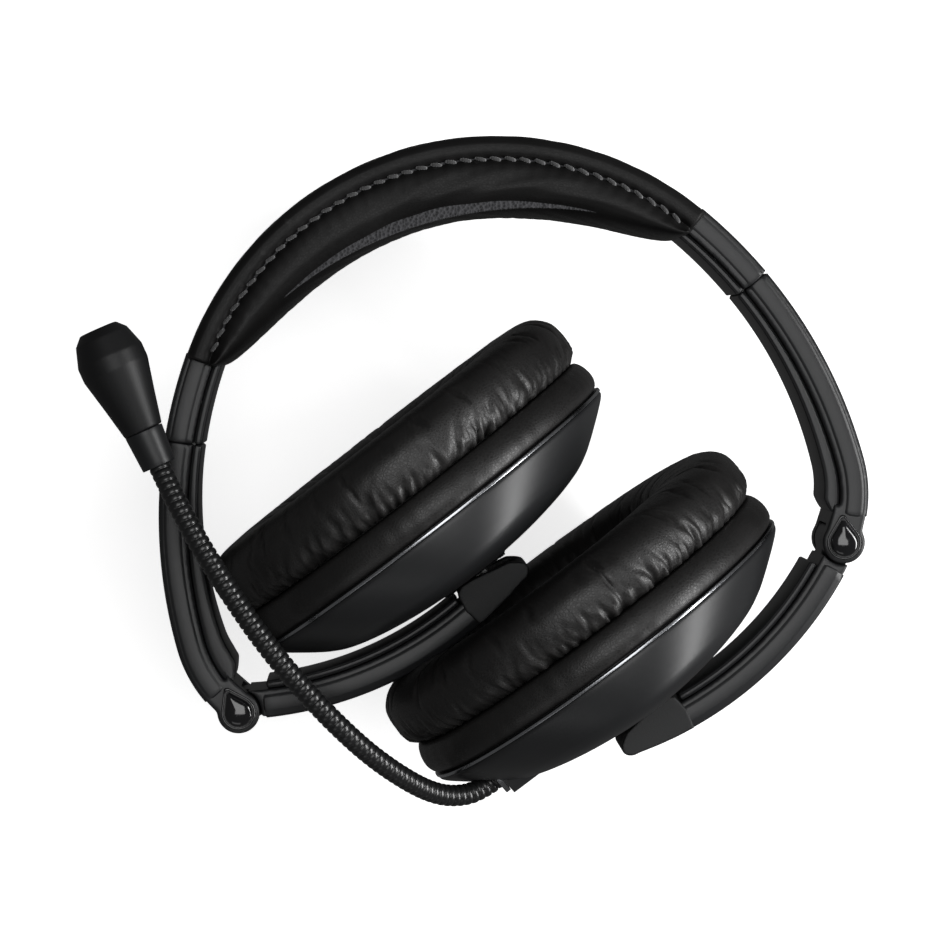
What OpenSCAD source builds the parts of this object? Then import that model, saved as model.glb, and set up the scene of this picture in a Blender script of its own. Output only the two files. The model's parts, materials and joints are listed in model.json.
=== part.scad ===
// Folding over-ear headset with a gooseneck microphone. It lies on the rims of its two ear cups.
// X and Y span the band's plane, Z is up, and the origin is under the middle of the headset.
//
// Each side is drawn in the band's frame: x towards the wearer's left, y towards the crown,
// z towards the wearer's front. The right side is the mirror image of the left one.
// A depth along the band is counted inwards from the band's outer surface.

/* [Band] */
// Height of the crown's arc centre above the band centre
crown_rise = 8; // [0:1:20]
// Outer radius of the crown
crown_radius = 79.3; // [70:0.1:90]
// Angle above the horizontal where the padded crown ends
crown_end = 35; // [28:1:45]
// Widest half-width of the band, outside
half_width = 86.5; // [84:0.5:95]
// Outer radius of the arm's lower end
lower_radius = 33; // [28:1:40]
// Radial thickness of the pad at the crown
pad_depth = 20; // [14:1:24]
// Radial thickness of the pad at its ends
pad_end_depth = 9.7; // [9:0.1:12]
// Width of the pad, front to back
pad_width = 35; // [30:1:40]

/* [Arms] */
// Angle above the horizontal of the seam between band end and arm
seam_angle = 24.8; // [22:0.2:28]
// Radial thickness of the outer mouldings
shell_depth = 6.6; // [6:0.1:8]
// Radial thickness including the inner covers
arm_depth = 8.1; // [8:0.1:10]
// Width of the band ends, front to back
end_width = 27; // [24:1:30]
// Width of the arms, front to back
arm_width = 25; // [22:1:28]
// Distance each arm slides out
slide_travel = 20; // [10:1:20]

/* [Fold hinges] */
// Distance of a fold hinge from the band's middle plane
fold_x = 76.6; // [74:0.1:79]
// Height of a fold hinge above the band centre
fold_y = -33.5; // [-36:0.1:-31]
// Radius of the hinge ears
ear_r = 5.2; // [4.5:0.1:6]
// Radius of the hinge pins
fold_pin_r = 1.6; // [1.2:0.1:2]
// Angle that the left yoke is folded in
fold_left = 69.8; // [60:0.1:90]
// Angle that the right yoke is folded in
fold_right = 109; // [95:1:115]

/* [Yokes] */
// Distance from the left fold hinge to the left cup's pivot
left_span = 62.4; // [60:0.1:70]
// Distance from the right fold hinge to the right cup's pivot
right_span = 67; // [60:0.1:70]
// Outer radius of the yoke bar
yoke_radius = 93; // [85:1:110]
// How far the bar bulges outside the line from pivot to hinge
yoke_bulge = 10.7; // [9:0.1:12]
// Thickness of the yoke bar with its inner cover
yoke_depth = 8; // [7:0.1:9]
// Width of the yoke bar, front to back
yoke_width = 24; // [20:1:26]
// Radius of the tilt pins
tilt_pin_r = 1.5; // [1.2:0.1:2]
// Angle of the left cup against its yoke
tilt_left = 5.8; // [0:0.1:14]
// Angle of the right cup against its yoke
tilt_right = 10.1; // [0:0.1:14]

/* [Ear cups] */
// Outer radius of the cups
cup_r = 52.2; // [45:0.1:55]
// Radius of the opening for the ear
ear_opening_r = 29; // [24:0.5:30]
// Thickness of the cushion
cushion_depth = 14.2; // [12:0.1:20]
// Thickness of the soft roll behind the crease
roll_depth = 8.9; // [7:0.1:10]
// Depth of the domed back
dome_depth = 15.8; // [14:0.1:20]
// Wall thickness of the domed back
dome_wall = 2; // [1.5:0.1:3]

/* [Microphone] */
// Diameter of the gooseneck
neck_d = 5.3; // [4:0.1:7]
// Length of the microphone, without its collar
mic_length = 26.5; // [20:0.5:35]
// Largest radius of the microphone
mic_r = 8.2; // [6:0.1:10]

/* [Hidden] */
$fn = 96;

// Where the band lies on the table
lean = 15.6;
band_x = 6.932;
band_y = -5.907;

// Arc centres of the band's outer line
side_radius = (half_width - crown_radius * cos(crown_end)) / (1 - cos(crown_end));
side_c = [half_width - side_radius,
          crown_rise + (crown_radius - side_radius) * sin(crown_end)];
lower_c = [half_width - lower_radius, side_c.y];
fold_at = [fold_x, fold_y];
ear_angle = -34;
arm_inner_end = -22;

// Sizes shared by the band's pieces
half_gap_deg = 0.08;
cover_gap = 0.1;
wall = 1.6;
spring_depth = 1.8;
spring_t = 1;
spring_w = 18;
spring_end = 31.5;
leather_t = 1.2;
strip_depth = 6.5;
strip_t = 1.2;
strip_w = 14;
strip_in = slide_travel + 6;
strip_out = 8;
strip_play = 0.25;
tail_end = crown_end + 5;
tail_w = 19.4;
screw_r = 1.2;
screw_head_r = 1.9;

// Yoke frame: origin on the cup's pivot, x towards the fold hinge, y towards the head
worn_dir = 97;
yoke_c = [27, yoke_radius - yoke_bulge];
yoke_shell_depth = yoke_depth - 1.4;
barrel_half = 6.7;
barrel_r = 5;
pivot_barrel_half = 4;
pivot_r = 3;
lug_in = 4.3;
lug_out = 7.6;
running = 0.05;
boss_r = 12;

// Cup frame: origin in the middle of the crease, x towards the fold hinge, y towards the head
pivot_back = 29.5;
crease_gap = 0.15;
trim_y = -roll_depth - 0.3;
trim_t = 0.8;
dome_y = trim_y - trim_t - 0.1;
rim_h = 2.2;
baffle_r = 37.7;
bracket_y = -23.4;

// Boom and jack, in the left cup's frame
boom_axis = [-38.6, -17.6, 15];
jack_axis = [-41, -17.6, -14];
jack_r = 1.8;
socket_r = 5.5;
ferrule_r = 3.4;
mic_dir = 77;
collar_length = 9;

// Middle line of the gooseneck, from the ferrule to the microphone
neck_route = [
    [-39.5, -17.6, 15], [-43.5, -17.5, 15.4], [-48.4, -16, 17.2], [-53, -11.8, 20.8],
    [-56.5, -4.6, 26.2], [-59.7, 6.6, 32], [-61.7, 19, 36], [-62.9, 32, 37.2],
    [-63.3, 44, 37.4], [-62.9, 56, 36.6], [-61.8, 70, 35.4], [-60.2, 82, 33.6],
    [-58.4, 92, 30.4]
];

// ---- Helpers ----

function arc(c, r, from, to, steps) =
    [for (i = [0:steps])
        let (a = from + (to - from) * i / steps)
        c + r * [cos(a), sin(a)]];

function reversed(points) = [for (i = [len(points) - 1:-1:0]) points[i]];

function crown(depth, from, to) = arc([0, crown_rise], crown_radius - depth, from, to, 24);
function side_line(depth, from, to) = arc(side_c, side_radius - depth, from, to, 12);
function lower_line(depth, from, to) = arc(lower_c, lower_radius - depth, from, to, 10);

// Outer line of the arm from the seam down to an angle on its lower end
function arm_line(depth, from, lower_to) =
    concat(side_line(depth, from, 0), [for (i = [1:10]) lower_line(depth, 0, lower_to)[i]]);

// A flat plate in the band's plane between two lines
module plate(outer, inner, width) {
    linear_extrude(height = width, center = true)
        polygon(concat(outer, reversed(inner)));
}

// A slice of the side arc
module side_plate(d0, d1, from, to, width) {
    plate(side_line(d0, from, to), side_line(d1, from, to), width);
}

// Frame on the side arc: x outwards, y up along the band, z to the front
module at_side(angle, depth) {
    translate([side_c.x, side_c.y, 0])
        rotate([0, 0, angle])
            translate([side_radius - depth, 0, 0])
                children();
}

module on_table() {
    translate([band_x, band_y, cup_r])
        rotate([0, 0, lean])
            children();
}

module left_side() {
    on_table() children();
}

module right_side() {
    on_table() mirror([1, 0, 0]) children();
}

module at_yoke(fold, span) {
    translate([fold_at.x, fold_at.y, 0])
        rotate([0, 0, worn_dir - fold])
            translate([-span, 0, 0])
                children();
}

module at_cup(fold, span, tilt) {
    at_yoke(fold, span)
        rotate([0, 0, -tilt])
            translate([0, pivot_back, 0])
                children();
}

module left_yoke_place() {
    left_side() at_yoke(fold_left, left_span) children();
}

module right_yoke_place() {
    right_side() at_yoke(fold_right, right_span) children();
}

module left_cup_place() {
    left_side() at_cup(fold_left, left_span, tilt_left) children();
}

module right_cup_place() {
    right_side() at_cup(fold_right, right_span, tilt_right) children();
}

// Turns a profile of radius and depth about the cup's axis
module turned() {
    rotate([-90, 0, 0]) rotate_extrude() children();
}

// Rectangle whose two back corners have one radius and its two front corners another
module round_box(x0, x1, y0, y1, back_r, front_r) {
    translate([x0, y0 + back_r]) square([x1 - x0, y1 - y0 - back_r - front_r]);
    translate([x0 + back_r, y0]) square([x1 - x0 - 2 * back_r, back_r]);
    translate([x0 + front_r, y1 - front_r]) square([x1 - x0 - 2 * front_r, front_r]);
    for (x = [x0 + back_r, x1 - back_r])
        translate([x, y0 + back_r]) circle(r = back_r, $fn = 48);
    for (x = [x0 + front_r, x1 - front_r])
        translate([x, y1 - front_r]) circle(r = front_r, $fn = 48);
}

module ring(r0, r1, y0, y1) {
    translate([r0, y0]) square([r1 - r0, y1 - y0]);
}

module pin(r, half_length) {
    cylinder(r = r, h = 2 * half_length, center = true);
}

// The same solid above and below the band's plane
module both_faces() {
    children();
    mirror([0, 0, 1]) children();
}

// ---- Headband ----

module pad_outline(inset, end_margin) {
    end_angle = crown_end + end_margin;
    end_r = crown_radius - pad_end_depth;
    half_chord = end_r * cos(crown_end);
    inner_top = crown_rise + crown_radius - pad_depth;
    sagitta = inner_top - crown_rise - end_r * sin(crown_end);
    inner_r = (half_chord * half_chord + sagitta * sagitta) / (2 * sagitta);
    inner_c = [0, inner_top - inner_r];
    half_inner = asin(half_chord / inner_r) - end_margin;
    polygon(concat(
        crown(inset, end_angle, 180 - end_angle),
        arc(inner_c, inner_r + inset, 90 + half_inner, 90 - half_inner, 24)
    ));
}

module headband_cover() {
    color("#1c1b1a") difference() {
        linear_extrude(height = pad_width, center = true) pad_outline(0, 0);
        linear_extrude(height = pad_width - 2 * leather_t, center = true) pad_outline(leather_t, -1);
    }
}

module headband_foam() {
    foam_w = pad_width - 2 * leather_t - 0.2;
    color("#4a4a4c") difference() {
        linear_extrude(height = foam_w, center = true) pad_outline(leather_t + 0.1, 5.6);
        plate(crown(spring_depth - 1, crown_end, 180 - crown_end),
              crown(spring_depth + spring_t + 0.1, crown_end, 180 - crown_end), spring_w + 0.4);
    }
}

module headband_spring() {
    inner = spring_depth + spring_t;
    right_end = [for (p = side_line(spring_depth, crown_end, spring_end)) [-p.x, p.y]];
    right_end_inner = [for (p = side_line(inner, crown_end, spring_end)) [-p.x, p.y]];
    color("#b9bcc0") linear_extrude(height = spring_w, center = true)
        polygon(concat(
            side_line(spring_depth, spring_end, crown_end),
            crown(spring_depth, crown_end + 1, 179 - crown_end),
            right_end,
            reversed(right_end_inner),
            crown(inner, 179 - crown_end, crown_end + 1),
            side_line(inner, crown_end, spring_end)
        ));
}

module strip_channel() {
    slot_t = strip_t + 2 * strip_play;
    at_side(seam_angle, strip_depth)
        translate([-slot_t / 2, -2, -strip_w / 2 - strip_play])
            cube([slot_t, strip_in + 14, strip_w + 2 * strip_play]);
}

module spring_slot() {
    outer = spring_depth - 0.2;
    inner = spring_depth + spring_t + 0.2;
    plate(side_line(outer, crown_end + 0.1, spring_end - 0.3),
          side_line(inner, crown_end + 0.1, spring_end - 0.3), spring_w + 0.2);
    plate(crown(outer - 0.2, crown_end - 0.2, tail_end + 1),
          crown(inner, crown_end - 0.2, tail_end + 1), 20);
}

module band_end() {
    color("#1b1c1e") difference() {
        union() {
            side_plate(0, shell_depth, crown_end - half_gap_deg, seam_angle + half_gap_deg, end_width);
            plate(crown(wall, crown_end, tail_end),
                  crown(shell_depth, crown_end, tail_end), tail_w);
            plate(side_line(wall, crown_end, crown_end - 1),
                  side_line(shell_depth, crown_end, crown_end - 1), tail_w);
        }
        spring_slot();
        strip_channel();
        at_side(seam_angle, strip_depth) translate([-0.3, 8, 0]) detent_pocket();
        band_end_screw_holes();
    }
}

module detent_pocket() {
    translate([0.5, -3.2, -2.6]) cube([1.8, 6.4, 5.2]);
}

module detent() {
    color("#c4c7ca") at_side(seam_angle, strip_depth) translate([-0.3, 8, 0]) {
        translate([1.9, -3, -2.4]) cube([0.35, 6, 4.8]);
        translate([1.45, -0.8, -2.4]) cube([0.5, 1.6, 4.8]);
    }
}

module band_end_cover() {
    color("#17181a") difference() {
        side_plate(shell_depth + cover_gap, arm_depth, crown_end - 0.4, seam_angle + 0.3,
                   end_width - 2.4);
        strip_channel();
        band_end_screw_holes();
    }
}

// The screws stand along x, with their heads at the inner surface
module cover_screw() {
    rotate([0, 90, 0]) {
        cylinder(r = screw_r, h = 4.2);
        cylinder(r = screw_head_r, h = 1);
    }
}

module at_band_end_screws() {
    for (z = [-9.9, 9.9])
        at_side(30, arm_depth - 0.2) translate([0, 0, z]) children();
}

module band_end_screw_holes() {
    at_band_end_screws() {
        cover_screw();
        translate([-1, 0, 0]) rotate([0, 90, 0]) cylinder(r = screw_head_r, h = 1.5);
    }
}

module band_end_screws() {
    color("#6d6f73") {
        left_side() at_band_end_screws() cover_screw();
        right_side() at_band_end_screws() cover_screw();
    }
}

// ---- Slider arms ----

module slider_strip() {
    color("#b4b7bb") at_side(seam_angle, strip_depth) difference() {
        translate([-strip_t / 2, -strip_out, -strip_w / 2])
            cube([strip_t, strip_in + strip_out, strip_w]);
        for (i = [0:5])
            translate([strip_t / 2, 8 + i * 3, 0]) pin(0.35, strip_w);
    }
}

module arm_outline(d0, d1) {
    polygon(concat(
        arm_line(d0, seam_angle - half_gap_deg, ear_angle),
        reversed(arm_line(d1, seam_angle - half_gap_deg, ear_angle))
    ));
}

// Open towards the wearer, as the cover stops above it
module arm_hollow() {
    top = seam_angle - 5;
    inner = shell_depth + 2;
    plate(concat(side_line(wall, top, 0), [lower_line(wall, 0, arm_inner_end)[10]]),
          concat(side_line(inner, top, 0), [lower_line(inner, 0, arm_inner_end)[10]]),
          arm_width - 4);
}

module arm_shell() {
    color("#1d1e20") difference() {
        union() {
            linear_extrude(height = arm_width, center = true) arm_outline(0, shell_depth);
            translate([fold_at.x, fold_at.y, 0]) pin(ear_r, arm_width / 2);
            linear_extrude(height = arm_width, center = true)
                polygon(concat([fold_at], lower_line(3, -16, ear_angle), [fold_at + [-4.6, 2]],
                               lower_line(arm_depth, -24, -18)));
        }
        arm_hollow();
        translate([fold_at.x, fold_at.y, 0]) pin(barrel_r + 0.7, barrel_half + 0.3);
        translate([fold_at.x, fold_at.y, 0]) pin(fold_pin_r, arm_width / 2 + 1);
        at_side(seam_angle, strip_depth)
            translate([-strip_t / 2, -strip_out, -strip_w / 2])
                cube([strip_t, strip_out + 1, strip_w]);
        arm_screw_holes();
    }
}

module arm_cover() {
    color("#17181a") difference() {
        side_plate(shell_depth + cover_gap, arm_depth, seam_angle - 5.2, 0.6, arm_width - 2.4);
        arm_screw_holes();
    }
}

module at_arm_screws() {
    for (a = [seam_angle - 8, 4])
        at_side(a, arm_depth - 0.2) children();
}

module arm_screw_holes() {
    at_arm_screws() {
        cover_screw();
        translate([-1, 0, 0]) rotate([0, 90, 0]) cylinder(r = screw_head_r, h = 1.5);
    }
}

module arm_screws() {
    color("#6d6f73") at_arm_screws() cover_screw();
}

module fold_pin() {
    color("#a7aaae") translate([fold_at.x, fold_at.y, 0]) pin(fold_pin_r, arm_width / 2 - 0.2);
}

// Teardrop cap over each end of the fold pin, its tip pointing up the arm
module fold_caps() {
    color("#0f1012") both_faces()
        translate([fold_at.x, fold_at.y, arm_width / 2])
            rotate([0, 0, 78])
                linear_extrude(height = 1.6) {
                    circle(r = 3.7);
                    polygon([[1.8, 3.24], [6.4, 0.6], [6.7, 0], [6.4, -0.6], [1.8, -3.24]]);
                }
}

// ---- Yokes ----

function yoke_line(depth, x0, x1) =
    arc(yoke_c, yoke_radius - depth,
        -90 + asin((x0 - yoke_c.x) / yoke_radius), -90 + asin((x1 - yoke_c.x) / yoke_radius), 20);

module yoke_plate(d0, d1, x0, x1, width) {
    plate(yoke_line(d0, x0, x1), yoke_line(d1, x0, x1), width);
}

module yoke_shell(span) {
    color("#1e1f21") difference() {
        union() {
            intersection() {
                yoke_plate(0, yoke_shell_depth, -boss_r - 1, span - 1, yoke_width);
                union() {
                    rotate([90, 0, 0]) pin(boss_r, 40);
                    translate([0, -30, -yoke_width / 2]) cube([span, 60, yoke_width]);
                }
            }
            translate([span, 0, 0]) pin(barrel_r, barrel_half);
            pin(pivot_r, pivot_barrel_half);
        }
        translate([-20, -1, -yoke_width]) difference() {
            cube([33, 20, 2 * yoke_width]);
            translate([20, 1, yoke_width]) pin(pivot_r, pivot_barrel_half);
        }
        yoke_plate(wall, yoke_depth + 2, 13, span - 11, yoke_width - 4);
        both_faces() {
            translate([span, 0, barrel_half + 0.15]) cylinder(r = ear_r + 0.4, h = 20);
            translate([0, 0, pivot_barrel_half + 0.05]) cylinder(r = pivot_r + 0.4, h = 5);
        }
        pin(tilt_pin_r + running, pivot_barrel_half + 1);
        translate([span, 0, 0]) pin(fold_pin_r + running, barrel_half + 1);
    }
}

module yoke_cover(span) {
    color("#141517")
        yoke_plate(yoke_shell_depth + cover_gap, yoke_depth, 14, span - 10, yoke_width - 2);
}

// ---- Ear cups ----

module cushion() {
    color("#191817") turned()
        round_box(ear_opening_r, cup_r, crease_gap, cushion_depth + crease_gap, 2.8, 6.9);
}

module cushion_base() {
    color("#1c1b1a") turned()
        round_box(baffle_r + 0.3, cup_r, -roll_depth, -crease_gap, 4, 3);
}

module trim_ring() {
    color("#8d8f93") turned() ring(44, cup_r - 0.15, trim_y - trim_t, trim_y);
}

// The housing starts with a short straight rim
function dome(r, depth) = concat(
    [[r, dome_y]],
    [for (i = [0:16]) [r * cos(i * 90 / 16), dome_y - rim_h - depth * pow(sin(i * 90 / 16), 1.4)]]
);

module dome_solid(r, depth) {
    turned() polygon(concat(dome(r, depth), [[0, dome_y]]));
}

module at_bracket_screws() {
    for (x = [-8, 8])
        translate([x, bracket_y, 0]) children();
}

module cup_housing() {
    color("#151618") difference() {
        union() {
            difference() {
                dome_solid(cup_r - 0.6, dome_depth);
                dome_solid(cup_r - 0.6 - dome_wall, dome_depth - dome_wall);
                turned() ring(0, cup_r - 0.6 - dome_wall, dome_y - 0.5, dome_y + 1);
            }
            intersection() {
                dome_solid(cup_r - 1, dome_depth - 0.5);
                at_bracket_screws() rotate([90, 0, 0]) translate([0, 0, 2]) cylinder(r = 2.2, h = 8);
            }
        }
        translate([0, -pivot_back, 0]) pin(pivot_r + 0.5, lug_out + 0.5);
        translate([-pivot_r - 0.5, -pivot_back, -lug_out - 0.5])
            cube([2 * pivot_r + 1, 6, 2 * lug_out + 1]);
        at_bracket_screws() rotate([90, 0, 0]) cylinder(r = 0.9, h = 4.5);
    }
}

// The left housing is also pierced by the boom's socket and by the jack
module left_cup_housing() {
    difference() {
        cup_housing();
        translate(boom_axis) rotate([0, 90, 0]) translate([0, 0, -10]) cylinder(r = socket_r, h = 26);
        translate(jack_axis) rotate([0, 90, 0]) translate([0, 0, -6]) cylinder(r = 3.6, h = 22);
    }
}

module pivot_bracket() {
    color("#8f9296") difference() {
        union() {
            turned() ring(0, 11, bracket_y - 2, bracket_y);
            both_faces() translate([0, -pivot_back, lug_in]) {
                cylinder(r = pivot_r, h = lug_out - lug_in);
                translate([-pivot_r, 0, 0])
                    cube([2 * pivot_r, pivot_back + bracket_y - 1, lug_out - lug_in]);
            }
        }
        translate([0, -pivot_back, 0]) pin(tilt_pin_r, lug_out + 1);
        at_bracket_screws() rotate([90, 0, 0]) translate([0, 0, -1]) cylinder(r = 0.9, h = 6);
    }
}

module tilt_pin() {
    color("#a7aaae") translate([0, -pivot_back, 0]) pin(tilt_pin_r, lug_out + 0.4);
}

module bracket_screws() {
    color("#6d6f73") at_bracket_screws() {
        rotate([90, 0, 0]) cylinder(r = 0.9, h = 4.4);
        rotate([-90, 0, 0]) cylinder(r = 1.8, h = 1.2);
    }
}

module baffle() {
    color("#232427") turned() {
        ring(19.3, baffle_r, -6, -3.6);
        ring(baffle_r - 2, baffle_r, -9.8, -5);
    }
}

module driver_frame() {
    color("#2d2f33") turned() {
        ring(17.8, 19.2, -9, -3.8);
        ring(11.6, 19.2, -10.4, -9);
    }
}

module driver_magnet() {
    color("#7d8085") turned() ring(0, 11.5, -16, -9.6);
}

module diaphragm() {
    color("#c9c4b4") turned() {
        ring(8, 17.7, -5.6, -5.2);
        polygon(concat(arc([0, -14], 11.5, 46, 90, 12), reversed(arc([0, -14], 11.1, 46, 90, 12))));
    }
}

module ear_scrim() {
    color("#26272a") turned() ring(0, 36, -2.2, -1.7);
}

// ---- Jack, boom and microphone ----

module audio_jack() {
    color("#3a3c40") translate(jack_axis) rotate([0, 90, 0]) difference() {
        cylinder(r = 3.6, h = 16);
        translate([0, 0, -1]) cylinder(r = jack_r, h = 15);
    }
}

module boom_socket() {
    color("#1b1c1e") translate(boom_axis) rotate([0, 90, 0]) difference() {
        cylinder(r = socket_r, h = 12);
        translate([0, 0, -1]) cylinder(r = ferrule_r + running, h = 10);
    }
}

module boom_ferrule() {
    color("#b8babd") translate(boom_axis) rotate([0, 90, 0]) difference() {
        union() {
            translate([0, 0, -0.9]) cylinder(r = ferrule_r, h = 9);
            translate([0, 0, -1.5]) cylinder(r = 4.4, h = 1.2);
        }
        translate([0, 0, -2]) cylinder(r = neck_d / 2, h = 8);
    }
}

// Catmull-Rom point between p1 and p2
function spline_point(p0, p1, p2, p3, t) =
    0.5 * (2 * p1 + (p2 - p0) * t + (2 * p0 - 5 * p1 + 4 * p2 - p3) * t * t
           + (3 * p1 - p0 - 3 * p2 + p3) * t * t * t);

function route_point(i) = neck_route[max(0, min(len(neck_route) - 1, i))];

function smooth_route(steps) = concat(
    [for (i = [0:len(neck_route) - 2], j = [0:steps - 1])
        spline_point(route_point(i - 1), route_point(i), route_point(i + 1), route_point(i + 2),
                     j / steps)],
    [neck_route[len(neck_route) - 1]]);

function unit(v) = v / norm(v);

module tube(path, r, sides) {
    last = len(path) - 1;
    rings = [for (i = [0:last])
        let (t = unit(path[min(last, i + 1)] - path[max(0, i - 1)]),
             s = unit(cross([0, 0, 1], t)),
             u = cross(t, s))
        for (k = [0:sides - 1])
            path[i] + r * (s * cos(360 * k / sides) + u * sin(360 * k / sides))];
    walls = [for (i = [0:last - 1], k = [0:sides - 1])
        let (next = (k + 1) % sides, here = i * sides, above = here + sides)
        [here + k, above + k, above + next, here + next]];
    polyhedron(points = rings,
               faces = concat([[for (k = [0:sides - 1]) k]], walls,
                              [[for (k = [sides - 1:-1:0]) last * sides + k]]),
               convexity = 6);
}

module gooseneck() {
    color("#18191a") tube(smooth_route(3), neck_d / 2, 12);
}

module at_mic() {
    translate(neck_route[len(neck_route) - 1])
        rotate([0, 0, mic_dir])
            rotate([0, 90, 0])
                children();
}

module mic_collar() {
    color("#141516") at_mic() difference() {
        cylinder(r1 = 4.1, r2 = 4.7, h = collar_length);
        translate([0, 0, -1]) cylinder(r = 2, h = collar_length + 2);
    }
}

module mic_body() {
    color("#141516") at_mic() difference() {
        rotate_extrude() polygon([
            [0, collar_length + 0.1], [4.75, collar_length + 0.1], [6.4, collar_length + 8],
            [mic_r, collar_length + 16], [mic_r, collar_length + 19.5],
            [mic_r - 1.6, collar_length + 24.4], [mic_r - 3.6, collar_length + mic_length],
            [0, collar_length + mic_length]
        ]);
        translate([0, 0, collar_length + 13]) cylinder(r = 5, h = 9);
        for (y = [-2.4, 0, 2.4])
            translate([2, y - 0.4, collar_length + 14]) cube([8, 0.8, 6]);
    }
}

module mic_element() {
    color("#6f7276") at_mic() translate([0, 0, collar_length + 13.2]) cylinder(r = 4.85, h = 6);
}

// ---- Assembly ----

on_table() headband_spring();
on_table() headband_foam();
on_table() headband_cover();
left_side() band_end();  // left_band_end
right_side() band_end();  // right_band_end
left_side() band_end_cover();  // left_band_end_cover
right_side() band_end_cover();  // right_band_end_cover
band_end_screws();
left_side() detent();  // left_detent
right_side() detent();  // right_detent
left_side() slider_strip();  // left_slider_strip
right_side() slider_strip();  // right_slider_strip
left_side() arm_shell();  // left_arm_shell
right_side() arm_shell();  // right_arm_shell
left_side() arm_cover();  // left_arm_cover
right_side() arm_cover();  // right_arm_cover
left_side() arm_screws();  // left_arm_screws
right_side() arm_screws();  // right_arm_screws
left_side() fold_pin();  // left_fold_pin
right_side() fold_pin();  // right_fold_pin
left_side() fold_caps();  // left_fold_caps
right_side() fold_caps();  // right_fold_caps
left_yoke_place() yoke_shell(left_span);  // left_yoke_shell
right_yoke_place() yoke_shell(right_span);  // right_yoke_shell
left_yoke_place() yoke_cover(left_span);  // left_yoke_cover
right_yoke_place() yoke_cover(right_span);  // right_yoke_cover
left_cup_place() pivot_bracket();  // left_pivot_bracket
right_cup_place() pivot_bracket();  // right_pivot_bracket
left_cup_place() tilt_pin();  // left_tilt_pin
right_cup_place() tilt_pin();  // right_tilt_pin
left_cup_place() bracket_screws();  // left_bracket_screws
right_cup_place() bracket_screws();  // right_bracket_screws
left_cup_place() left_cup_housing();
right_cup_place() cup_housing();  // right_cup_housing
left_cup_place() trim_ring();  // left_trim_ring
right_cup_place() trim_ring();  // right_trim_ring
left_cup_place() cushion_base();  // left_cushion_base
right_cup_place() cushion_base();  // right_cushion_base
left_cup_place() cushion();  // left_cushion
right_cup_place() cushion();  // right_cushion
left_cup_place() baffle();  // left_baffle
right_cup_place() baffle();  // right_baffle
left_cup_place() driver_frame();  // left_driver_frame
right_cup_place() driver_frame();  // right_driver_frame
left_cup_place() driver_magnet();  // left_driver_magnet
right_cup_place() driver_magnet();  // right_driver_magnet
left_cup_place() diaphragm();  // left_diaphragm
right_cup_place() diaphragm();  // right_diaphragm
left_cup_place() ear_scrim();  // left_ear_scrim
right_cup_place() ear_scrim();  // right_ear_scrim
left_cup_place() audio_jack();
left_cup_place() boom_socket();
left_cup_place() boom_ferrule();
left_cup_place() gooseneck();
left_cup_place() mic_collar();
left_cup_place() mic_body();
left_cup_place() mic_element();
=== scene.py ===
"""Looks of the folded office headset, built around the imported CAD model."""
import json
import math

import bmesh
import bpy
import numpy as np
from mathutils import Matrix, Vector


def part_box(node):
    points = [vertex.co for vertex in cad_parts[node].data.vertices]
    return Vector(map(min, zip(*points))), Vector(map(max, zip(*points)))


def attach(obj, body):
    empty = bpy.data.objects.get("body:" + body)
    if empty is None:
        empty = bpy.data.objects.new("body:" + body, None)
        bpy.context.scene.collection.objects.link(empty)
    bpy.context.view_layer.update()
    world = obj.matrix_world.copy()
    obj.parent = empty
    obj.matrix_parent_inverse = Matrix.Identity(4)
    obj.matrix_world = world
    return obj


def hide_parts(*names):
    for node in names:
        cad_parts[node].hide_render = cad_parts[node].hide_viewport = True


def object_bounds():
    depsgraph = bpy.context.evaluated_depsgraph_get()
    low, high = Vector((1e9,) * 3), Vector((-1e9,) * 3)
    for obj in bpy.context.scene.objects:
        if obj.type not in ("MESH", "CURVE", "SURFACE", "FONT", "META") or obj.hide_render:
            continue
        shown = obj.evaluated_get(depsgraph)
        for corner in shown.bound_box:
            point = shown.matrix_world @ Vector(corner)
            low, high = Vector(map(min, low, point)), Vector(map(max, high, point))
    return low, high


MM = 0.001
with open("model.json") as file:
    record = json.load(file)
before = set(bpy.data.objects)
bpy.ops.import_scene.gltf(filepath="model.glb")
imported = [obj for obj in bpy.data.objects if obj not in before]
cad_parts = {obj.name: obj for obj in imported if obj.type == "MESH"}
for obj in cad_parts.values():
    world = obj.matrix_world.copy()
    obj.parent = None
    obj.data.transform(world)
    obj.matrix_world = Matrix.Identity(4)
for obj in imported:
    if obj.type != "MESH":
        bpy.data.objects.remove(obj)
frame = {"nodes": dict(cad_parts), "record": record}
cad_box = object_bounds()
record = frame["record"]
joints = {j["name"]: j for j in record["behaviour"]["joints"]}
scene = bpy.context.scene
rng = np.random.default_rng(7)


# ---- Places, in millimetres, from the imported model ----

def joint_at(name):
    return np.array(joints[name]["pos_m"]) / MM


def box_middle(node):
    lo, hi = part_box(node)
    return np.array((lo + hi) / 2) / MM


Z = np.array([0.0, 0.0, 1.0])
mid_z = (cad_box[0][2] + cad_box[1][2]) / 2 / MM
hinge_left, hinge_right = joint_at("left_fold"), joint_at("right_fold")
band_u = (hinge_left - hinge_right) / np.linalg.norm(hinge_left - hinge_right)
band_v = np.array([-band_u[1], band_u[0], 0.0])
HINGE_ACROSS, HINGE_BELOW = 76.6, 33.5
band_origin = (hinge_left + hinge_right) / 2 + HINGE_BELOW * band_v
crown_center = band_origin + 8 * band_v


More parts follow.
